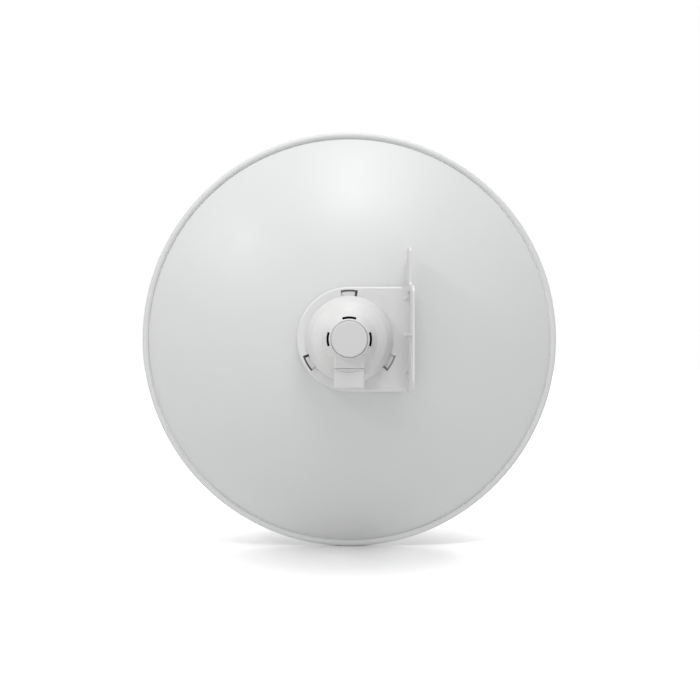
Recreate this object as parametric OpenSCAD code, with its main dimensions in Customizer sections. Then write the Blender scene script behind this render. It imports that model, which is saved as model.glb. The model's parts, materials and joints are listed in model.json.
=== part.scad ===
// Outdoor wireless bridge: a round parabolic reflector with its radio in the feed.
//
// Every sub-part is drawn as seen from behind the reflector: x to the right, y up and
// z towards the viewer, with z = 0 at the vertex of the parabola and the dish on z < 0.
// from_behind() turns that into the part's own frame: +Y along the beam, +Z up, and
// the origin where the elevation pivot hole meets the flange's outer face.

/* [Reflector] */
// Diameter over the rolled rim
dish_d = 420; // [410:1:430]
// Focal length of the parabola
focal_length = 150; // [145:1:160]
// Sheet thickness of the reflector
dish_t = 1.2; // [1:0.1:1.6]
// Radius of the flat land at the centre
land_r = 46; // [45:0.5:47]
// Outer radius of the rolled bead
bead_r = 3.2; // [3:0.1:3.6]

/* [Bracket] */
// Radius of the round end of the bracket plate
plate_r = 49.5; // [49:0.1:50.5]
// Height of the plate's rear face above the vertex
plate_z = 12; // [11.5:0.1:12.5]
// Sheet thickness of the bracket
plate_t = 2; // [1.8:0.1:2.2]
// Distance from the dish axis to the flange's inner face
flange_x = 55; // [54:0.5:57]
// How far the flange reaches behind the vertex
flange_reach = 88; // [87:0.5:90]
// Height of the top of the flange's ear above the dish axis
ear_top = 85; // [80:1:90]
// Diameter of the elevation pivot hole and width of the arc slot
pivot_d = 8.4; // [8.2:0.1:8.8]

/* [Rear housing] */
// Radius of the housing where it meets the plate
dome_r = 40.7; // [40.5:0.1:41]
// Wall thickness of the housing
wall = 2.2; // [2:0.1:2.4]
// Width of the arm that covers the socket
arm_w = 27.6; // [27.4:0.1:28]
// Height of the arm's rear face above the vertex
arm_z = 51.6; // [51.4:0.1:51.8]
// Turn that frees the housing from the plate, in degrees
lock_turn = 2.6; // [2.4:0.1:2.8]

/* [Release button] */
// Radius of the button
button_r = 16.4; // [16.2:0.1:16.5]
// Height of the button's face above the vertex
button_z = 60.4; // [60.2:0.1:61]

/* [Port cover] */
// Distance from the dish axis down to the seam between arm and cover
seam_y = 26.3; // [26.1:0.1:26.8]
// Distance from the dish axis down to the cover's lower end
cover_end = 45.5; // [44:0.5:47]

/* [Feed] */
// Radius of the feed's tail
tail_r = 16.6; // [16.4:0.1:16.7]
// Distance from the vertex forward to the tip of the feed
feed_tip = 168; // [166:1:172]
// Radius of the feed's cap
cap_r = 37; // [35:0.5:40]

/* [Hidden] */

$fn = 96;
arc_step = 9;          // most degrees that one straight step of a rounded corner turns
gap = 0.3;             // room between pieces that move apart
cut = 1;               // how far a cutting shape runs past the face that it opens

// Reflector
dish_r = dish_d / 2;
bead_t = dish_t;
bead_c = dish_r - bead_r;
land_front = parabola(land_r);
land_back = land_front + dish_t;
hub_hole_r = 28.6;
bowl_steps = 44;

// Bracket
pivot_r = pivot_d / 2;
pivot_at = [flange_x + plate_t, -36, 40];
slot_arc_r = 38;
slot_from = 38;
slot_to = 82;
tether_at = [76, 14];
tether_r = 3;
cup_r = 38.6;
screw_ring_r = 32.6;
screw_angles = [45, 135, 225, 315];
screw_r = 2;
screw_hole_r = 2.2;
window_angles = [90, 210, 330];
window_half = 10;
window_inner_r = 39;
window_outer_r = 46.6;
skirt_z = -1.5;
pocket_depth = 2.2;
pocket_y = [5.6, 44.5];
pocket_z = [plate_z, 52];
pip_heights = [38, 3.6, -31];

// Housing
arm_wall = 2.2;
arm_half = arm_w / 2;
collar_top = 56.2;
collar_r = button_r + 1.9;
button_bore_r = button_r + 0.35;
web_z = 49.6;
web_t = 1.8;
tail_top = 40;
neck_rise = 50.5;
vent_r = [18.6, 20.8];
vent_half = 18.5;
vent_angles = [0, 90, 180];
vent_floor = 38.6;
rail_x = [9, 10.4];
rail_lip_x = 11.3;
rail_top = 36.5;
rail_lip_t = 1.4;
rail_end = 37;
stud_at = [0, 7];
groove_z = [44.3, 46.1];
clip_z = 45.2;
clip_r = 4.4;
clip_wire_r = 0.6;
leg_x = [5.9, 7.9];
leg_y = [1.5, 4.5];
leg_tip_z = 46.2;
spring_r = 11.5;
spring_wire_r = 0.35;
spring_turns = 3.5;

// Feed
lobe_half = 11.2;
lobe_end = 24.3;
lobe_z = [22.5, 49];
lobe_wall = 1.6;
shoulder_z = -4.7;
shoulder_t = 3.8;
spigot_r = 21.7;
spigot_end = -18;
spigot_in_r = 19.2;
tube_end = -136;
board_x = -7.6;
board_t = 1.6;
board_face = board_x + board_t;
jack_x = [board_face, 7.5];
jack_z = [31.6, 47.4];
jack_depth = 21;
jack_mouth_x = [-3.2, 4.8];
jack_mouth_z = [33.6, 45.4];
tail_screw_at = [[-11.4, 7.5], [11.4, 7.5]];
reset_at = [-4.2, 27.5];
reset_r = 1.3;
plate_sub_z = -150;
lamp_heights = [32.6, 44.2];

// Height of the parabola at radius r, forward being negative
function parabola(r) = -r * r / (4 * focal_length);

function unit(v) = v / norm(v);

function turned(v, a) = [v.x * cos(a) - v.y * sin(a), v.x * sin(a) + v.y * cos(a)];

// Closed outline through [x, y, radius] corners, where a radius of 0 stays sharp
function rounded(corners) = [
    for (i = [0 : len(corners) - 1])
        let (
            count = len(corners),
            here = corners[i],
            before = corners[(i + count - 1) % count],
            after = corners[(i + 1) % count],
            tip = [here.x, here.y],
            a = unit([before.x, before.y] - tip),
            b = unit([after.x, after.y] - tip),
            half = acos(a * b) / 2
        )
        each here[2] == 0 ? [tip] : corner_arc(tip, a, b, half, here[2])
];

// Points of the arc of radius r that touches both sides of a corner
function corner_arc(tip, a, b, half, r) =
    let (
        centre = tip + unit(a + b) * r / sin(half),
        start = tip + a * r / tan(half) - centre,
        stop = tip + b * r / tan(half) - centre,
        turn = atan2(cross(start, stop), start * stop),
        steps = ceil(abs(turn) / arc_step)
    )
    [for (k = [0 : steps]) centre + turned(start, turn * k / steps)];

module from_behind() {
    translate([-pivot_at.x, pivot_at.z, -pivot_at.y]) rotate([90, 0, 0]) children();
}

// A 2D outline of [y, z] points pushed along x
module along_x(from, to) {
    translate([from, 0, 0]) rotate([90, 0, 90]) linear_extrude(to - from) children();
}

// A 2D outline of [x, z] points pushed along y
module along_y(from, to) {
    translate([0, to, 0]) rotate([90, 0, 0]) linear_extrude(to - from) children();
}

// A block between two opposite corners
module block(low, high) {
    translate(low) cube(high - low);
}

// Part of a ring about the dish axis, counter-clockwise from one angle to another
module sector(radii, angles, heights) {
    rotate([0, 0, angles[0]])
        rotate_extrude(angle = angles[1] - angles[0])
            translate([radii[0], heights[0]])
                square([radii[1] - radii[0], heights[1] - heights[0]]);
}

// A round bar along y
module bar_along_y(at, r, from, to) {
    translate([at.x, from, at.y]) rotate([-90, 0, 0]) cylinder(h = to - from, r = r);
}

module at_screws() {
    for (angle = screw_angles)
        rotate([0, 0, angle]) translate([screw_ring_r, 0, 0]) children();
}

// ---------------------------------------------------------------- reflector

module bowl_outline() {
    rim_r = bead_c - bead_r + bead_t - 0.3;
    radii = [for (i = [0 : bowl_steps]) land_r + (rim_r - land_r) * i / bowl_steps];
    front = [for (r = radii) [r, parabola(r)]];
    back = [for (i = [bowl_steps : -1 : 0]) [radii[i], parabola(radii[i]) + dish_t]];
    polygon(concat([[hub_hole_r, land_front]], front, back, [[hub_hole_r, land_back]]));
}

module bead_outline() {
    bead_z = parabola(bead_c - bead_r) + 0.3;
    translate([bead_c, bead_z]) {
        intersection() {
            difference() {
                circle(bead_r);
                circle(bead_r - bead_t);
            }
            translate([-bead_r, 0]) square([2 * bead_r, bead_r]);
        }
        translate([bead_r - bead_t, -bead_r * 0.6]) square([bead_t, bead_r * 0.6 + 0.05]);
    }
}

module dish_reflector() {
    color("whitesmoke") from_behind() difference() {
        rotate_extrude($fn = 180) {
            bowl_outline();
            bead_outline();
        }
        at_screws() translate([0, 0, land_front - cut])
            cylinder(h = dish_t + 2 * cut, r = screw_hole_r);
    }
}

module hub_seal() {
    lip_t = 0.8;
    lip_r = hub_hole_r + 0.5;
    bore_r = 27.1;
    color("dimgray") from_behind() rotate_extrude() {
        translate([bore_r, land_front - lip_t])
            square([hub_hole_r - 0.1 - bore_r, dish_t + 2 * lip_t]);
        translate([bore_r, land_front - lip_t]) square([lip_r - bore_r, lip_t]);
        translate([bore_r, land_back]) square([lip_r - bore_r, lip_t]);
    }
}

// ---------------------------------------------------------------- bracket

// Half section of the plate with its skirt turned down towards the dish
module tray_section() {
    polygon(rounded([
        [0, plate_z - plate_t, 0],
        [plate_r - plate_t, plate_z - plate_t, 0.7],
        [plate_r - plate_t, skirt_z, 0],
        [plate_r, skirt_z, 0],
        [plate_r, plate_z, 2.2],
        [0, plate_z, 0]
    ]));
}

module tray() {
    rotate([0, 0, 90]) rotate_extrude(angle = 180) tray_section();
    for (side = [0, 1])
        mirror([0, side, 0]) along_x(0, flange_x) tray_section();
}

// The cup pressed forward to bolt onto the reflector's land
module cup() {
    floor_back = land_back + plate_t;
    rotate_extrude() polygon(rounded([
        [hub_hole_r + 0.7, land_back, 0],
        [cup_r, land_back, 1.5],
        [cup_r, plate_z, 0],
        [cup_r - plate_t, plate_z, 0],
        [cup_r - plate_t, floor_back, 0.4],
        [hub_hole_r + 0.7, floor_back, 0]
    ]));
}

module flange_outline() {
    polygon(rounded([
        [-plate_r, plate_z + 1, 0],
        [-plate_r + 6.5, flange_reach, 9],
        [46.5, flange_reach, 7],
        [plate_r + 0.5, 38, 4],
        [ear_top, 38, 5],
        [ear_top, -11, 5],
        [plate_r + 1, -1.5, 3],
        [plate_r + 1, plate_z + 1, 0]
    ]));
}

// The pocket's outline in the flange, with extra all round
module pocket_outline(extra) {
    polygon(rounded([
        [pocket_y[0] - extra, pocket_z[0] - extra, 0],
        [pocket_y[0] - extra, pocket_z[1] + extra, 4 + extra],
        [pocket_y[1] + extra, pocket_z[1] + extra, 4 + extra],
        [pocket_y[1] + extra, pocket_z[0] - extra, 0]
    ]));
}

// A stiffening rib along the flange's inner face, under the pocket
module flange_rib() {
    rib_r = 1.3;
    translate([flange_x, pocket_y[0] - rib_r - 0.2, plate_z - 0.5])
        cylinder(h = flange_reach - plate_z - 2.5, r = rib_r);
}

module flange() {
    outer_x = flange_x + plate_t;
    difference() {
        union() {
            along_x(flange_x, outer_x) flange_outline();
            along_x(flange_x + 0.5, outer_x + pocket_depth) pocket_outline(plate_t - 0.2);
            along_y(-plate_r, plate_r) polygon(rounded([
                [flange_x - 5, plate_z - plate_t, 0],
                [outer_x, plate_z - plate_t, 3],
                [outer_x, plate_z + 3, 0],
                [flange_x, plate_z + 3, 0],
                [flange_x, plate_z, 1.2],
                [flange_x - 5, plate_z, 0]
            ]));
        }
        along_x(flange_x - cut, flange_x + pocket_depth) pocket_outline(0);
    }
    flange_rib();
}

// Small pips pressed up from the plate beside the bend
module bend_pips() {
    for (y = pip_heights)
        translate([flange_x - 1.9, y, plate_z - 0.4]) cylinder(h = 1.3, r1 = 2.5, r2 = 1.3);
}

module elevation_holes() {
    from = flange_x - cut;
    length = plate_t + 2 * cut;
    translate([from, pivot_at.y, pivot_at.z]) rotate([90, 0, 90]) {
        cylinder(h = length, r = pivot_r);
        sector([slot_arc_r - pivot_r, slot_arc_r + pivot_r], [slot_from, slot_to], [0, length]);
        for (angle = [slot_from, slot_to])
            rotate([0, 0, angle]) translate([slot_arc_r, 0, 0]) cylinder(h = length, r = pivot_r);
    }
    translate([from, tether_at[0], tether_at[1]]) rotate([0, 90, 0])
        cylinder(h = length, r = tether_r);
}

module mounting_bracket() {
    color("white") from_behind() difference() {
        union() {
            difference() {
                tray();
                cylinder(h = plate_z + cut, r = cup_r - 0.5);
            }
            cup();
            flange();
            bend_pips();
            rotate([0, 0, 222.5]) translate([42, 0, plate_z]) rotate([0, 90, 0])
                cylinder(h = 3.6, r = 0.7, $fn = 32);
        }
        for (angle = window_angles)
            sector(
                [window_inner_r, window_outer_r],
                [angle - window_half, angle + window_half],
                [plate_z - plate_t - cut, plate_z + cut]
            );
        at_screws() translate([0, 0, land_back - cut])
            cylinder(h = plate_t + 2 * cut, r = screw_hole_r);
        elevation_holes();
    }
}

module bracket_screws() {
    color("silver") from_behind() at_screws() {
        translate([0, 0, land_front - 2.2]) difference() {
            cylinder(h = 2.2, r = 3.3);
            translate([0, 0, -cut]) cylinder(h = 1.2 + cut, r = 1.5, $fn = 6);
        }
        translate([0, 0, land_front - 0.1]) cylinder(h = 9.2, r = screw_r);
    }
}

module bracket_nuts() {
    color("silver") from_behind() at_screws()
        translate([0, 0, land_back + plate_t]) difference() {
            union() {
                rotate([0, 0, 30]) cylinder(h = 3.2, r = 3.5 / cos(30), $fn = 6);
                cylinder(h = 0.6, r = 3.5);
            }
            translate([0, 0, -cut]) cylinder(h = 3.2 + 2 * cut, r = screw_r + 0.02);
        }
}

// ---------------------------------------------------------------- rear housing

// Solid outer form of the bell, its neck and the collar around the button
module bell_solid() {
    rotate_extrude($fn = 128) polygon(rounded([
        [0, plate_z + gap, 0],
        [dome_r, plate_z + gap, 0],
        [dome_r, 15, 2],
        [35.2, 26.8, 5],
        [25.4, 32.4, 4],
        [collar_r, neck_rise, 2],
        [collar_r, collar_top, 0.8],
        [0, collar_top, 0]
    ]));
}

module bell_cavity() {
    rotate_extrude($fn = 128) polygon(rounded([
        [0, plate_z - cut, 0],
        [dome_r - wall, plate_z - cut, 0],
        [dome_r - wall, 15, 2],
        [33.4, 25.2, 4],
        [24.2, 30.4, 3],
        [collar_r - wall + 0.4, web_z, 0],
        [0, web_z, 0]
    ]));
}

module arm_solid() {
    intersection() {
        along_y(-seam_y, 0) polygon(rounded([
            [-arm_half, 20, 0],
            [arm_half, 20, 0],
            [arm_half, arm_z, 2],
            [-arm_half, arm_z, 2]
        ]));
        block([-arm_half, -seam_y, 20], [arm_half, 0, arm_z]);
    }
}

// Strips of foam that keep insects out of the vents
module vent_screen() {
    reach = vent_half + 1;
    foam_r = [tail_r + 0.4, tail_r + 4];
    color("black") from_behind() for (angle = vent_angles)
        sector(foam_r, [angle - reach, angle + reach], [vent_floor - 0.5, vent_floor + 0.1]);
}

module cover_rails() {
    for (side = [0, 1]) mirror([side, 0, 0]) {
        block([rail_x[0], -rail_end, 22], [rail_x[1], -seam_y + 0.1, rail_top]);
        block(
            [rail_x[1] - 0.1, -rail_end, rail_top - rail_lip_t],
            [rail_lip_x, -seam_y + 0.1, rail_top]
        );
    }
}

// One bayonet foot: a stem in the plate's window and a toe that turns in under the plate
module bayonet_foot(angle) {
    stem = [angle - window_half + lock_turn + 0.3, angle + window_half - 0.6];
    radii = [dome_r - 1.5, window_outer_r - 1.5];
    toe_top = plate_z - plate_t - gap;
    sector(radii, [stem[0], stem[1] + lock_turn - 0.1], [toe_top - 2.8, toe_top]);
    sector(radii, stem, [toe_top - 2.8, plate_z - 1.3]);
    sector([radii[0], dome_r - 0.3], stem, [toe_top, plate_z + 2]);
}

// Ribs that steady the feed's tail
module tail_guides() {
    for (angle = vent_angles)
        rotate([0, 0, angle]) block([tail_r + 0.35, -1, 24], [24, 1, vent_floor - 0.6]);
}

// A hook under the web that the latch clip's bend rests on
module clip_hook() {
    block([-3, 15.2, 43.3], [3, 18.6, 44.3]);
    block([-3, 17.3, 43.3], [3, 18.6, web_z + 0.5]);
}

module rear_housing() {
    color("white") from_behind() difference() {
        union() {
            difference() {
                union() {
                    bell_solid();
                    arm_solid();
                    cover_rails();
                }
                bell_cavity();
                block(
                    [-arm_half + arm_wall, -seam_y - cut, 33],
                    [arm_half - arm_wall, -10, arm_z - arm_wall]
                );
                block(
                    [-arm_half + arm_wall, -seam_y - 0.1, 20],
                    [arm_half - arm_wall, -10, 34]
                );
            }
            intersection() {
                tail_guides();
                bell_solid();
            }
            clip_hook();
            for (angle = window_angles) bayonet_foot(angle);
        }
        translate([0, 0, web_z + web_t]) cylinder(h = 20, r = button_bore_r);
        for (side = [0, 1]) mirror([side, 0, 0])
            block(
                [leg_x[0] - gap, leg_y[0] - gap, web_z - cut],
                [leg_x[1] + gap, leg_y[1] + gap, web_z + web_t + cut]
            );
        for (angle = vent_angles)
            sector(vent_r, [angle - vent_half, angle + vent_half], [vent_floor, neck_rise + 1.4]);
    }
}

// Points of one ring of the spring's wire, a fraction t of the way up
function spring_ring(t, bottom, top) =
    let (
        turn = 360 * spring_turns * t,
        rise = bottom + (top - bottom) * t
    )
    [
        for (k = [0 : 7])
            let (
                r = spring_r + spring_wire_r * cos(45 * k),
                z = rise + spring_wire_r * sin(45 * k)
            )
            [r * cos(turn), r * sin(turn), z]
    ];

module coil(bottom, top, rings = 84) {
    points = [for (i = [0 : rings]) each spring_ring(i / rings, bottom, top)];
    sides = [
        for (i = [0 : rings - 1], k = [0 : 7])
            [i * 8 + k, i * 8 + (k + 1) % 8, i * 8 + 8 + (k + 1) % 8, i * 8 + 8 + k]
    ];
    ends = [[for (k = [7 : -1 : 0]) k], [for (k = [0 : 7]) rings * 8 + k]];
    polyhedron(points, concat(sides, ends), convexity = 6);
}

module button_spring() {
    low = web_z + web_t + spring_wire_r + 0.05;
    high = button_z - 2.4 - spring_wire_r - 0.05;
    color("gray") from_behind() coil(low, high);
}

module latch_clip() {
    color("gray") from_behind() translate([0, 0, clip_z]) {
        translate([0, 12, 0]) rotate_extrude(angle = 180)
            translate([clip_r, 0]) circle(clip_wire_r, $fn = 32);
        for (side = [0, 1]) mirror([side, 0, 0]) {
            translate([clip_r, 3, 0]) rotate([-90, 0, 0])
                cylinder(h = 9, r = clip_wire_r, $fn = 32);
            translate([clip_r, 3, 0]) sphere(clip_wire_r, $fn = 32);
            translate([clip_r, 3, 0]) rotate([0, 90, 0])
                cylinder(h = 3.6, r = clip_wire_r, $fn = 32);
        }
    }
}

// ---------------------------------------------------------------- button and cover

module release_button() {
    under = button_z - 2.4;
    skirt = web_z + web_t + 3.3;
    color("white") from_behind() {
        rotate_extrude($fn = 128) polygon(rounded([
            [0, under, 0],
            [button_r - 2, under, 0.5],
            [button_r - 2, skirt, 0],
            [button_r, skirt, 0],
            [button_r, button_z, 1.4],
            [0, button_z, 0]
        ]));
        for (side = [0, 1]) mirror([side, 0, 0])
            along_x(leg_x[0], leg_x[1]) polygon([
                [leg_y[0], under + 0.5],
                [leg_y[0], leg_tip_z + 1.5],
                [leg_y[0] + 1, leg_tip_z],
                [leg_y[1] - 1, leg_tip_z],
                [leg_y[1], leg_tip_z + 1.5],
                [leg_y[1], under + 0.5]
            ]);
    }
}

// Outer form of the cover: its section seen from below, crossed with its side view
module cover_solid() {
    low_z = 33.4;
    intersection() {
        along_y(-cover_end, -seam_y - gap) polygon(rounded([
            [-arm_half, low_z, 0],
            [arm_half, low_z, 0],
            [arm_half, arm_z, 2],
            [-arm_half, arm_z, 2]
        ]));
        along_x(-arm_half - cut, arm_half + cut) polygon(rounded([
            [-seam_y - gap, low_z, 0],
            [-seam_y - gap, arm_z, 0],
            [-cover_end, arm_z, 3],
            [-cover_end, low_z, 0]
        ]));
    }
}

module port_cover() {
    low_z = 33.4;
    thumb_r = 25;
    thumb_drop = 3.6;
    thumb_tilt = 9;
    notch_r = 4.2;
    color("white") from_behind() {
        difference() {
            cover_solid();
            block(
                [-arm_half + arm_wall, -cover_end + 2, low_z - cut],
                [arm_half - arm_wall, -seam_y, arm_z - arm_wall]
            );
            translate([
                0,
                thumb_r * cos(thumb_tilt) - seam_y - gap - thumb_drop,
                arm_z + thumb_r * sin(thumb_tilt) - 0.75
            ])
                rotate([thumb_tilt, 0, 0]) cylinder(h = 8, r = thumb_r, $fn = 180);
            bar_along_y([0, 41], notch_r, -cover_end - cut, -cover_end + 4);
            block(
                [-notch_r, -cover_end - cut, low_z - cut],
                [notch_r, -cover_end + 4, 41]
            );
        }
        translate([5.8, -cover_end + 1.6, 46]) cylinder(h = arm_z - 47.2, r = 2.9);
        for (side = [0, 1]) mirror([side, 0, 0])
            block(
                [rail_x[1] + gap, -cover_end + 2.5, low_z],
                [arm_half - arm_wall + 0.1, -seam_y - gap, rail_top - rail_lip_t - gap]
            );
    }
}

// ---------------------------------------------------------------- feed shells

module jack_window() {
    block(
        [jack_x[0] - 0.2, -lobe_end - cut, jack_z[0] - 0.2],
        [jack_x[1] + 0.2, -lobe_end + lobe_wall + 0.5, jack_z[1] + 0.2]
    );
}

module feed_base() {
    color("gainsboro") from_behind() difference() {
        union() {
            difference() {
                union() {
                    rotate_extrude() polygon(rounded([
                        [0, tail_top, 0],
                        [tail_r, tail_top, 0],
                        [tail_r, 13, 5],
                        [26.7, 3, 2],
                        [26.7, shoulder_z, 0],
                        [29, shoulder_z, 0.8],
                        [29, shoulder_z - shoulder_t, 0],
                        [spigot_r, shoulder_z - shoulder_t, 0],
                        [spigot_r, spigot_end, 0],
                        [0, spigot_end, 0]
                    ]));
                    block([-lobe_half, -lobe_end, lobe_z[0]], [lobe_half, 0, tail_top]);
                }
                rotate_extrude() polygon(rounded([
                    [0, tail_top + cut, 0],
                    [tail_r - 2, tail_top + cut, 0],
                    [tail_r - 2, 9, 5],
                    [spigot_in_r, 1, 3],
                    [spigot_in_r, spigot_end - cut, 0],
                    [0, spigot_end - cut, 0]
                ]));
                block(
                    [-lobe_half + lobe_wall, -lobe_end + lobe_wall, lobe_z[0] + lobe_wall],
                    [lobe_half - lobe_wall, 0, tail_top + cut]
                );
            }
            for (at = tail_screw_at) intersection() {
                translate([at.x, at.y, 28]) cylinder(h = tail_top - 28, r = 2.6);
                cylinder(h = 60, r = tail_r - 0.5);
            }
        }
        for (at = tail_screw_at)
            translate([at.x, at.y, 29]) cylinder(h = 20, r = 1.25);
        jack_window();
        bar_along_y(reset_at, reset_r + gap, -lobe_end - cut, -lobe_end + lobe_wall + 0.5);
        rotate_extrude() translate([spigot_r - 1.4, -14]) square([3, 1.8]);
    }
}

module tail_cover() {
    color("gainsboro") from_behind() difference() {
        union() {
            translate([0, 0, tail_top]) cylinder(h = 2, r = tail_r);
            block([-lobe_half, -lobe_end, tail_top], [lobe_half, -1, lobe_z[1]]);
            translate([stud_at.x, stud_at.y, 0]) rotate_extrude() polygon([
                [0, tail_top + 1],
                [5.5, tail_top + 1],
                [5.5, groove_z[0]],
                [3.6, groove_z[0]],
                [3.6, groove_z[1]],
                [5.5, groove_z[1]],
                [5.5, groove_z[1] + 0.9],
                [3.8, groove_z[1] + 2.6],
                [0, groove_z[1] + 2.6]
            ]);
        }
        block(
            [-lobe_half + lobe_wall, -lobe_end + lobe_wall, tail_top - cut],
            [lobe_half - lobe_wall, -1 - lobe_wall, lobe_z[1] - 1.2]
        );
        jack_window();
        for (at = tail_screw_at)
            translate([at.x, at.y, tail_top - cut]) cylinder(h = 5, r = 1.4);
    }
}

module tail_screws() {
    color("silver") from_behind() for (at = tail_screw_at) translate([at.x, at.y, 0]) {
        difference() {
            translate([0, 0, tail_top + 2]) cylinder(h = 1.4, r = 2.2);
            for (turn = [0, 90]) translate([0, 0, tail_top + 3.2]) rotate([0, 0, turn])
                cube([2.6, 0.6, 1.6], center = true);
        }
        translate([0, 0, 30]) cylinder(h = 12.1, r = 1.2);
    }
}

module tube_seal() {
    color("dimgray") from_behind() translate([0, 0, -13.1])
        rotate_extrude() translate([spigot_r - 0.65, 0]) circle(0.7, $fn = 32);
}

module feed_tube() {
    seat_z = shoulder_z - shoulder_t;
    bore_r = spigot_r + 0.2;
    color("white") from_behind() rotate_extrude($fn = 128) polygon(rounded([
        [bore_r, seat_z, 0],
        [24.2, seat_z, 0.6],
        [21.4, tube_end, 0],
        [spigot_in_r, tube_end, 0],
        [spigot_in_r + 1.4, spigot_end - 7, 0],
        [bore_r, spigot_end - 1, 0]
    ]));
}

module cap_form(shrink) {
    rotate_extrude($fn = 128) polygon(rounded([
        [0, -139 - shrink, 0],
        [23, -139 - shrink, 0],
        [cap_r - shrink, -143 - shrink, 4],
        [cap_r - shrink, -feed_tip + 9, 8 - shrink],
        [cap_r * 0.6, -feed_tip + 2.5 + shrink, 30],
        [0, -feed_tip + shrink, 0]
    ]));
}

module feed_cap() {
    color("white") from_behind() difference() {
        union() {
            cap_form(0);
            translate([0, 0, -141]) cylinder(h = 15, r = 24);
        }
        cap_form(2);
        translate([0, 0, -143]) cylinder(h = 20, r = 21.9);
    }
}

// ---------------------------------------------------------------- radio inside the feed

module subreflector() {
    color("silver") from_behind() rotate_extrude() {
        translate([0, plate_sub_z - 1.2]) square([cap_r - 5, 1.2]);
        translate([cap_r - 6, plate_sub_z - 4]) square([1, 4]);
    }
}

module subreflector_support() {
    color("ivory") from_behind() rotate_extrude() polygon(rounded([
        [0, -118, 0],
        [4, -118, 0],
        [16.9, -126, 0],
        [16.9, -132, 2],
        [20.5, plate_sub_z, 0],
        [0, plate_sub_z, 0]
    ]));
}

module waveguide_tube() {
    back_z = -74;
    color("silver") from_behind() difference() {
        translate([0, 0, -131]) cylinder(h = 131 + back_z, r = 18.2);
        translate([0, 0, -132]) cylinder(h = 132 + back_z - 1.2, r = 17);
        translate([0, 0, -86]) rotate([0, 90, 0]) cylinder(h = 30, r = 1.2);
        translate([0, 0, -98]) rotate([-90, 0, 0]) cylinder(h = 30, r = 1.2);
    }
}

module feed_probes() {
    color("gold") from_behind() {
        translate([6, 0, -86]) rotate([0, 90, 0]) cylinder(h = 12.6, r = 0.8, $fn = 32);
        translate([0, 6, -98]) rotate([-90, 0, 0]) cylinder(h = 12.6, r = 0.8, $fn = 32);
    }
}

module radio_board() {
    color("darkgreen") from_behind() along_x(board_x, board_face) polygon([
        [-16, -70], [16, -70], [16, -20], [12, -16], [12, 39],
        [-3, 39], [-3, 47], [-22.4, 47], [-22.4, 25], [-12, 25], [-12, -16], [-16, -20]
    ]);
}

module shield_cans() {
    height = 2.6;
    skin = 0.4;
    color("silver") from_behind() for (at = [[-13, -66, 26, 24], [-12, -38, 24, 20]])
        difference() {
            block([board_face, at[0], at[1]], [board_face + height, at[0] + at[2], at[1] + at[3]]);
            block(
                [board_face - cut, at[0] + skin, at[1] + skin],
                [board_face + height - skin, at[0] + at[2] - skin, at[1] + at[3] - skin]
            );
        }
}

// Chips as [y, z, width, length, height] on the board's face
module main_chips() {
    chips = [
        [-6, -60, 9, 9, 1],
        [2, -50, 6, 6, 1],
        [-5, -32, 8, 8, 1],
        [-7, -13, 14, 14, 1.3],
        [-9, 4, 8, 11, 1.1]
    ];
    color("black") from_behind() for (c = chips)
        block([board_face, c[0], c[1]], [board_face + c[4], c[0] + c[2], c[1] + c[3]]);
}

module power_inductors() {
    color("dimgray") from_behind() for (z = [8, 17, 26])
        translate([board_face, 5, z]) rotate([0, 90, 0]) cylinder(h = 4, r = 3.4);
}

module ethernet_jack() {
    color("silver") from_behind() difference() {
        block(
            [jack_x[0], -lobe_end, jack_z[0]],
            [jack_x[1], -lobe_end + jack_depth, jack_z[1]]
        );
        block(
            [jack_mouth_x[0], -lobe_end - cut, jack_mouth_z[0]],
            [jack_mouth_x[1], -lobe_end + 16, jack_mouth_z[1]]
        );
        block(
            [jack_mouth_x[1] - 0.1, -lobe_end - cut, 36.5],
            [jack_mouth_x[1] + 1.4, -lobe_end + 12, 42.5]
        );
        for (z = lamp_heights) lamp(z, 0.05);
    }
}

module lamp(z, room) {
    block(
        [5.2 - room, -lobe_end - (room > 0 ? cut : 0), z - room],
        [7.1 + room, -lobe_end + 4 + room, z + 2.4 + room]
    );
}

module port_lamps() {
    color("palegreen") from_behind() for (z = lamp_heights) lamp(z, 0);
}

// Eight sprung contacts in the socket, at the standard 1.02 mm spacing
module jack_contacts() {
    pitch = 1.02;
    middle = (jack_mouth_z[0] + jack_mouth_z[1]) / 2;
    color("gold") from_behind() for (i = [0 : 7])
        along_z_slice(middle + (i - 3.5) * pitch, 0.4) polygon([
            [jack_mouth_x[0], -lobe_end + 16],
            [jack_mouth_x[0], -lobe_end + 4],
            [jack_mouth_x[0] + 1.9, -lobe_end + 11],
            [jack_mouth_x[0] + 1.9, -lobe_end + 12],
            [jack_mouth_x[0] + 0.5, -lobe_end + 7],
            [jack_mouth_x[0] + 0.5, -lobe_end + 16]
        ]);
}

// A flat [x, y] outline of the given thickness, centred on height z
module along_z_slice(z, thickness) {
    translate([0, 0, z - thickness / 2]) linear_extrude(thickness) children();
}

module ethernet_transformer() {
    color("black") from_behind() block([board_face, -10.5, 20], [board_face + 5, -2, 31]);
}

module reset_switch() {
    color("dimgray") from_behind() {
        block([board_face, -20.9, 25.4], [board_face + 3.6, -16.4, 29.6]);
    }
}

module reset_button() {
    stop_y = -lobe_end + lobe_wall + gap;
    color("darkgray") from_behind() {
        bar_along_y(reset_at, reset_r, -lobe_end - 0.6, stop_y + 0.1);
        bar_along_y(reset_at, reset_r + 0.4, stop_y, stop_y + 0.5);
    }
}

module heat_spreader() {
    color("silver") from_behind() {
        block([board_x - 4.4, -11, -66], [board_x - 1.8, 11, -14]);
        for (y = [-9, -3, 3, 9])
            block([board_x - 8, y - 0.7, -64], [board_x - 4.3, y + 0.7, -16]);
    }
}

module thermal_pad() {
    color("lightblue") from_behind() block([board_x - 1.8, -10, -62], [board_x, 10, -18]);
}

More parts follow.
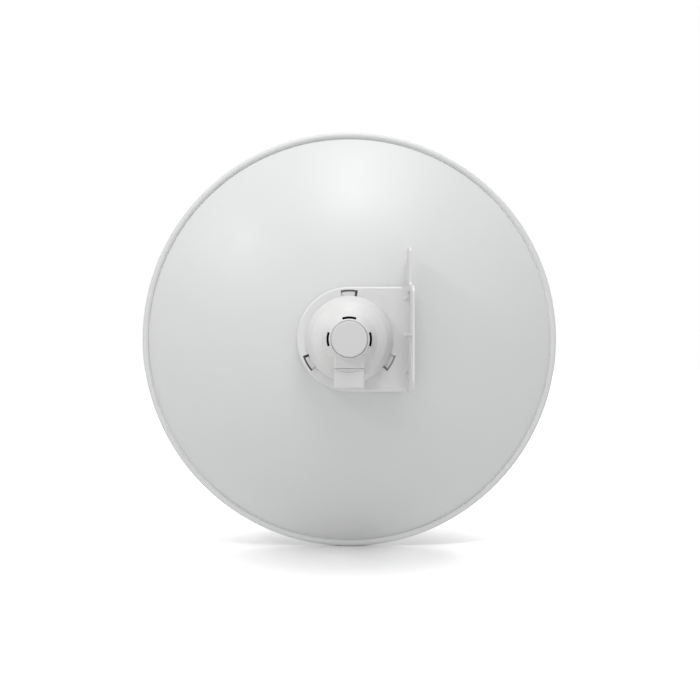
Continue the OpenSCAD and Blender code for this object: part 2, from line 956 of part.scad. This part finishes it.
dish_reflector();
mounting_bracket();
bracket_screws();
bracket_nuts();
hub_seal();
rear_housing();
button_spring();
latch_clip();
port_cover();
release_button();
feed_base();
tail_cover();
tail_screws();
tube_seal();
feed_tube();
feed_cap();
subreflector();
subreflector_support();
waveguide_tube();
feed_probes();
radio_board();
shield_cans();
main_chips();
power_inductors();
ethernet_jack();
jack_contacts();
port_lamps();
ethernet_transformer();
reset_switch();
reset_button();
heat_spreader();
thermal_pad();
vent_screen();
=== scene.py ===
import json
import math

import bmesh
import bpy
from mathutils import Matrix, Vector


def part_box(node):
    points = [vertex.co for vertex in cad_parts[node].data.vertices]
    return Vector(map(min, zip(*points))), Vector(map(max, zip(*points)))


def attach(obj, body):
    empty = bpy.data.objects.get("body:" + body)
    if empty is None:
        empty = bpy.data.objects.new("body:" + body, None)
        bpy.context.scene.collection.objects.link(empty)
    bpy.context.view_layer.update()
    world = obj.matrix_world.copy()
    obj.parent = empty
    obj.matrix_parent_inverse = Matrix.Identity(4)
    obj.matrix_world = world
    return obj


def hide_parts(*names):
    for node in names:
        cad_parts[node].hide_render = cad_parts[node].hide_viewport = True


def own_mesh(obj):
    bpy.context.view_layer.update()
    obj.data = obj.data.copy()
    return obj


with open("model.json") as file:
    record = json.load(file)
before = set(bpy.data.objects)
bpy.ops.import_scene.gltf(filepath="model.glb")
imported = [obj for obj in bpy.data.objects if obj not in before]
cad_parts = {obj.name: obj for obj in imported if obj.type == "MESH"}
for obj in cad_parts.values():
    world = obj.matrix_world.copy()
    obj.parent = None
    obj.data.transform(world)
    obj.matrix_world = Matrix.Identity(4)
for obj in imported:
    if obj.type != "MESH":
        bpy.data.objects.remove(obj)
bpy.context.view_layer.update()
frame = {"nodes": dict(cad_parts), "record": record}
NODES = frame["nodes"]

# The dish axis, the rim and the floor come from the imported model's own boxes
dish_low, dish_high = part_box("dish_reflector")
dish_centre = (dish_low + dish_high) / 2
AXIS_X, AXIS_Z = dish_centre.x, dish_centre.z
PLATE_BEHIND_DISH = 0.0143
PLATE_Y = dish_low.y - PLATE_BEHIND_DISH     # rear face of the bracket's plate

NOISE_LOW, NOISE_HIGH = 0.3, 0.7      # where most of a noise's values lie
MOTTLE_SCALE = 16
FLOOR_HALF = 6.0
FLOOR_TONE = 0.8
AMBIENT = 0.6                         # strength of the light from the surroundings


# ---------------------------------------------------------------- materials

def new_tree(name):
    material = bpy.data.materials.new(name)
    material.use_nodes = True
    tree = material.node_tree
    tree.nodes.clear()
    output = tree.nodes.new("ShaderNodeOutputMaterial")
    shader = tree.nodes.new("ShaderNodeBsdfPrincipled")
    tree.links.new(shader.outputs["BSDF"], output.inputs["Surface"])
    coords = tree.nodes.new("ShaderNodeTexCoord")
    return material, tree, shader, coords.outputs["Object"]


def noise(tree, coords, scale, detail=3.0, roughness=0.55, stretch=None):
    node = tree.nodes.new("ShaderNodeTexNoise")
    node.inputs["Scale"].default_value = scale
    node.inputs["Detail"].default_value = detail
    node.inputs["Roughness"].default_value = roughness
    if stretch:
        mapping = tree.nodes.new("ShaderNodeMapping")
        mapping.inputs["Scale"].default_value = stretch
        tree.links.new(coords, mapping.inputs["Vector"])
        coords = mapping.outputs["Vector"]
    tree.links.new(coords, node.inputs["Vector"])
    return node.outputs["Fac"]


def spread(tree, value, low, high):
    """Maps a noise's usual values onto low to high."""
    node = tree.nodes.new("ShaderNodeMapRange")
    node.inputs["From Min"].default_value = NOISE_LOW
    node.inputs["From Max"].default_value = NOISE_HIGH
    node.inputs["To Min"].default_value = low
    node.inputs["To Max"].default_value = high
    tree.links.new(value, node.inputs["Value"])
    return node.outputs["Result"]


def between(tree, factor, dark, light):
    node = tree.nodes.new("ShaderNodeMix")
    node.data_type = "RGBA"
    node.inputs["A"].default_value = (*dark, 1)
    node.inputs["B"].default_value = (*light, 1)
    tree.links.new(factor, node.inputs["Factor"])
    return node.outputs["Result"]


def bump(tree, shader, height, depth, edge=0.0):
    """A grain of the given depth; edge also softens sharp edges over that radius."""
    node = tree.nodes.new("ShaderNodeBump")
    node.inputs["Distance"].default_value = depth
    tree.links.new(height, node.inputs["Height"])
    if edge:
        softened = tree.nodes.new("ShaderNodeBevel")
        softened.inputs["Radius"].default_value = edge
        tree.links.new(softened.outputs["Normal"], node.inputs["Normal"])
    tree.links.new(node.outputs["Normal"], shader.inputs["Normal"])


def shaded(color, by):
    return tuple(max(0.0, min(1.0, c * (1 + by))) for c in color)


def finish_material(name, color, roughness, grain, depth, mottle=0.02, uneven=0.06, metallic=0.0,
                    stretch=None, edge=0.0):
    """A surface with slow colour and gloss variation and a fine grain that catches the light."""
    material, tree, shader, coords = new_tree(name)
    broad = noise(tree, coords, MOTTLE_SCALE, detail=5)
    fine = noise(tree, coords, grain, detail=4, stretch=stretch)
    tint = between(tree, broad, shaded(color, -mottle), shaded(color, mottle))
    tree.links.new(tint, shader.inputs["Base Color"])
    gloss = spread(tree, fine if stretch else broad, roughness - uneven, roughness + uneven)
    tree.links.new(gloss, shader.inputs["Roughness"])
    shader.inputs["Metallic"].default_value = metallic
    bump(tree, shader, fine, depth, edge)
    return material


def make_materials():
    return {
        "dish_paint": finish_material("dish_paint", (0.7, 0.704, 0.708), 0.42, 900, 0.00003, 0.006,
                                      edge=0.0003),
        "bracket_paint": finish_material("bracket_paint", (0.74, 0.74, 0.747), 0.4, 1100, 0.00003,
                                         0.006, edge=0.0004),
        "white_plastic": finish_material("white_plastic", (0.725, 0.725, 0.72), 0.46, 2600, 0.00002,
                                         0.005, edge=0.0004),
        # painted shade: cover_plastic and button_plastic are darker copies of white_plastic; their
        # lower tone stands in for the dimmer light on these rear-facing faces, and on the cover for
        # the button's shadow
        "cover_plastic": finish_material("cover_plastic", (0.67, 0.67, 0.67), 0.48, 2600, 0.00002,
                                         0.005, edge=0.0004),
        "button_plastic": finish_material("button_plastic", (0.66, 0.66, 0.66), 0.44, 2600, 0.00002,
                                          0.005, edge=0.0004),
        "grey_plastic": finish_material("grey_plastic", (0.5, 0.51, 0.52), 0.5, 2600, 0.00003),
        "zinc_steel": finish_material("zinc_steel", (0.62, 0.63, 0.65), 0.32, 700, 0.00002, 0.05,
                                      0.08, metallic=1.0),
        "spring_steel": finish_material("spring_steel", (0.5, 0.51, 0.53), 0.3, 500, 0.00002, 0.05,
                                        0.08, metallic=1.0),
        "bare_aluminium": finish_material("bare_aluminium", (0.74, 0.75, 0.77), 0.35, 600, 0.00002,
                                          0.03, 0.1, metallic=1.0, stretch=(1, 12, 1)),
        "tin_plate": finish_material("tin_plate", (0.7, 0.7, 0.71), 0.34, 800, 0.00002, 0.04,
                                     0.08, metallic=1.0),
        "gold_plate": finish_material("gold_plate", (0.83, 0.62, 0.26), 0.24, 900, 0.00001, 0.03,
                                      0.06, metallic=1.0),
        "seal_rubber": finish_material("seal_rubber", (0.035, 0.035, 0.038), 0.62, 1500, 0.00004, 0.1),
        "dielectric": finish_material("dielectric", (0.8, 0.78, 0.7), 0.5, 900, 0.00002),
        "board_green": finish_material("board_green", (0.03, 0.2, 0.09), 0.35, 400, 0.00003, 0.12),
        "chip_black": finish_material("chip_black", (0.02, 0.02, 0.022), 0.55, 3000, 0.00002, 0.1),
        "ferrite": finish_material("ferrite", (0.09, 0.09, 0.095), 0.6, 2000, 0.00003, 0.1),
        "lamp_clear": finish_material("lamp_clear", (0.45, 0.7, 0.4), 0.2, 900, 0.00001),
        "gap_pad": finish_material("gap_pad", (0.45, 0.58, 0.68), 0.7, 1200, 0.00005),
        # painted shade: vent_foam is a near-black sheet behind the vent slots that darkens them,
        # standing in for the shade inside the slots
        "vent_foam": finish_material("vent_foam", (0.012, 0.012, 0.012), 0.9, 1800, 0.0002, 0.2),
    }


def dress_cad_nodes(materials):
    slot_of = {s["node"]: s["material_slot"] for s in frame["record"]["subparts"]}
    for name, piece in NODES.items():
        piece.data.materials.clear()
        piece.data.materials.append(materials[slot_of[name]])


# ---------------------------------------------------------------- added pieces

def new_piece(name, shape, material, body):
    mesh = bpy.data.meshes.new(name)
    shape.to_mesh(mesh)
    shape.free()
    piece = bpy.data.objects.new(name, mesh)
    bpy.context.scene.collection.objects.link(piece)
    mesh.materials.append(materials[material])
    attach(piece, body)
    return piece


def add_elevation_ticks():
    """Pressed marks beside the flange's arc slot, one for each four degrees of tilt."""
    first, last, spacing, long_every = 38, 82, 4, 3
    inner_r, short_r, long_r = 0.0436, 0.0456, 0.0468
    proud, sunk, width, rounding = 0.0003, 0.0002, 0.0007, 0.00008
    shape = bmesh.new()
    for index, angle in enumerate(range(first, last + 1, spacing)):
        outer_r = long_r if index % long_every == 0 else short_r
        middle = Vector(((proud - sunk) / 2, 0, (inner_r + outer_r) / 2))
        size = Matrix.Diagonal((proud + sunk, width, outer_r - inner_r, 1))
        turn = Matrix.Rotation(math.radians(angle), 4, "X")
        bmesh.ops.create_cube(shape, size=1, matrix=turn @ Matrix.Translation(middle) @ size)
    bmesh.ops.bevel(shape, geom=list(shape.edges), offset=rounding, segments=2, affect="EDGES")
    new_piece("elevation_ticks", shape, "bracket_paint", "reflector")


def point_about_axis(shape, r, y, angle):
    """A point at a radius and angle about the dish axis, y along it."""
    return shape.verts.new((AXIS_X + r * math.cos(angle), y, AXIS_Z + r * math.sin(angle)))


def join_rings(shape, rings):
    """Faces from each ring of points to the next."""
    for here, after in zip(rings, rings[1:]):
        for k in range(len(here)):
            beyond = (k + 1) % len(here)
            shape.faces.new((here[k], here[beyond], after[beyond], after[k]))


def ring_profile(shape, profile, steps=96):
    """Turns a closed profile of (radius, y) points about the dish axis."""
    rings = []
    for step in range(steps):
        angle = 2 * math.pi * step / steps
        rings.append([point_about_axis(shape, r, y, angle) for r, y in profile])
    join_rings(shape, rings + rings[:1])


def add_button_spring():
    """A coil of wire in place of the rigid CAD spring, which is hidden."""
    low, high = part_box("button_spring")
    wire_r, turns, sides, steps = 0.00035, 3.5, 10, 168
    coil_r = (high.x - low.x) / 2 - wire_r
    front_y, rear_y = high.y - wire_r, low.y + wire_r
    shape = bmesh.new()
    rings = []
    for step in range(steps + 1):
        turn = 2 * math.pi * turns * step / steps
        y = front_y + (rear_y - front_y) * step / steps
        ring = []
        for side in range(sides):
            around = 2 * math.pi * side / sides
            r = coil_r + wire_r * math.cos(around)
            ring.append(point_about_axis(shape, r, y + wire_r * math.sin(around), turn))
        rings.append(ring)
    join_rings(shape, rings)
    shape.faces.new(rings[0])
    shape.faces.new(rings[-1])
    bmesh.ops.recalc_face_normals(shape, faces=shape.faces)
    coil = new_piece("button_coil", shape, "spring_steel", "housing")
    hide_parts("button_spring")
    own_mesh(coil)


def add_gate_mark():
    """The witness ring that moulding leaves in the middle of the feed's cap."""
    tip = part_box("feed_cap")[1].y
    root_y, crest_y = tip - 0.0006, tip - 0.0001
    shape = bmesh.new()
    ring_profile(shape, [(0.0019, root_y), (0.0024, root_y), (0.0023, crest_y), (0.002, crest_y)])
    bmesh.ops.recalc_face_normals(shape, faces=shape.faces)
    new_piece("cap_gate_mark", shape, "white_plastic", "feed")


# ---------------------------------------------------------------- studio

def add_camera():
    plate_distance = 1.0              # from the lens to the plate's rear face
    data = bpy.data.cameras.new("camera")
    data.sensor_width = 36
    data.lens = 54.7
    data.shift_x = 0.001
    data.shift_y = -0.0154
    camera = bpy.data.objects.new("camera", data)
    bpy.context.scene.collection.objects.link(camera)
    camera.location = (AXIS_X, PLATE_Y - plate_distance, AXIS_Z)
    camera.rotation_euler = (math.radians(90), 0, 0)
    bpy.context.scene.camera = camera


def add_light(name, offset, size, power):
    """A rectangular lamp at an offset from the middle of the plate, turned towards it."""
    aim = Vector((AXIS_X, PLATE_Y, AXIS_Z))
    place = aim + Vector(offset)
    data = bpy.data.lights.new(name, "AREA")
    data.shape = "RECTANGLE"
    data.size, data.size_y = size
    data.energy = power
    light = bpy.data.objects.new(name, data)
    bpy.context.scene.collection.objects.link(light)
    light.location = place
    light.rotation_euler = (aim - place).to_track_quat("-Z", "Y").to_euler()


def seen_or_cast(tree, socket, seen, cast):
    """Gives a strength one value where it is seen and another where it lights the object."""
    path = tree.nodes.new("ShaderNodeLightPath")
    strength = tree.nodes.new("ShaderNodeMapRange")
    strength.inputs["To Min"].default_value = cast
    strength.inputs["To Max"].default_value = seen
    tree.links.new(path.outputs["Is Camera Ray"], strength.inputs["Value"])
    tree.links.new(strength.outputs["Result"], socket)


def add_studio():
    scene = bpy.context.scene
    scene.view_settings.view_transform = "Standard"
    world = bpy.data.worlds.new("studio")
    scene.world = world
    world.use_nodes = True
    tree = world.node_tree
    backdrop = tree.nodes["Background"]
    backdrop.inputs["Color"].default_value = (1, 1, 1, 1)
    seen_or_cast(tree, backdrop.inputs["Strength"], 1.0, AMBIENT)
    add_light("softbox_above", (0.1, -0.75, 1.62), (0.8, 0.6), 14.5)
    add_light("light_left", (-1.15, -0.75, 0.95), (0.22, 0.22), 3.9)
    add_light("softbox_front", (0.5, 1.5, 1.1), (1.0, 0.8), 8)


def whiten_away_from_dish(tree, coords, socket):
    """Paints a glow on the floor, seen only by the camera, that runs out to the backdrop's white away
    from the dish; near the dish's foot the glow stays low, a painted shade patch round the dish's
    shadow.
    """
    shadow_end, white_start = 0.04, 0.3
    shadow_glow, white_glow = 0.03, 0.9
    foot = (AXIS_X, dish_low.y + 0.04, dish_low.z)
    distance = tree.nodes.new("ShaderNodeVectorMath")
    distance.operation = "DISTANCE"
    distance.inputs[1].default_value = foot
    tree.links.new(coords, distance.inputs[0])
    # painted shade and light: the glow rises from shadow_glow near the dish's foot to white_glow far
    # out
    glow = tree.nodes.new("ShaderNodeMapRange")
    glow.interpolation_type = "SMOOTHSTEP"
    glow.inputs["From Min"].default_value = shadow_end
    glow.inputs["From Max"].default_value = white_start
    glow.inputs["To Min"].default_value = shadow_glow
    glow.inputs["To Max"].default_value = white_glow
    tree.links.new(distance.outputs["Value"], glow.inputs["Value"])
    path = tree.nodes.new("ShaderNodeLightPath")
    seen = tree.nodes.new("ShaderNodeMath")
    seen.operation = "MULTIPLY"
    tree.links.new(glow.outputs["Result"], seen.inputs[0])
    tree.links.new(path.outputs["Is Camera Ray"], seen.inputs[1])
    tree.links.new(seen.outputs["Value"], socket)


def add_floor():
    mesh = bpy.data.meshes.new("floor")
    turns = [(-1, -1), (1, -1), (1, 1), (-1, 1)]
    corners = [(x * FLOOR_HALF, y * FLOOR_HALF, dish_low.z) for x, y in turns]
    mesh.from_pydata(corners, [], [(0, 1, 2, 3)])
    floor = bpy.data.objects.new("floor", mesh)
    bpy.context.scene.collection.objects.link(floor)
    material, tree, shader, coords = new_tree("studio_floor")
    shader.inputs["Base Color"].default_value = (FLOOR_TONE, FLOOR_TONE, FLOOR_TONE, 1)
    shader.inputs["Roughness"].default_value = 0.9
    shader.inputs["Emission Color"].default_value = (1, 1, 1, 1)
    whiten_away_from_dish(tree, coords, shader.inputs["Emission Strength"])
    mesh.materials.append(material)


materials = make_materials()
dress_cad_nodes(materials)
add_elevation_ticks()
add_button_spring()
add_gate_mark()
add_camera()
add_studio()
add_floor()
